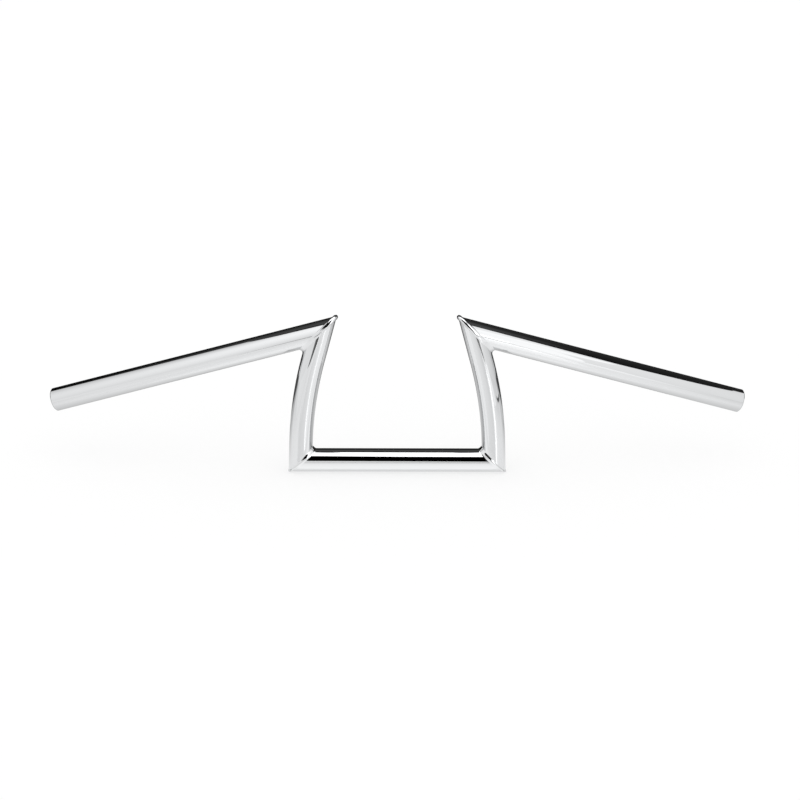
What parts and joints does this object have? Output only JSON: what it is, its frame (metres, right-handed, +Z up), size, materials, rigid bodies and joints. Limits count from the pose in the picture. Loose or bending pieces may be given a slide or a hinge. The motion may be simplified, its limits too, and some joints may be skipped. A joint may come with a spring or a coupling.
{
  "type": "motorcycle handlebar",
  "caption": "Chromed steel tube handlebar with a straight clamp tube, curved risers that lean in, mitred welded corners and drooping swept-back grip tubes with open ends.",
  "frame": {"origin": "middle of the clamp tube, on its axis", "axes": "+X along the clamp tube to the rider's left, +Y back towards the rider, +Z up, in the plane of the risers"},
  "size_m": [0.7576, 0.0919, 0.1765],
  "materials": {
    "chrome_plate": "polished"
  },
  "bodies": {
    "root": {"centre_tube": "chrome_plate", "left_riser": "chrome_plate", "right_riser": "chrome_plate", "left_grip_tube": "chrome_plate", "right_grip_tube": "chrome_plate", "corner_welds": "chrome_plate"}
  },
  "joints": []
}
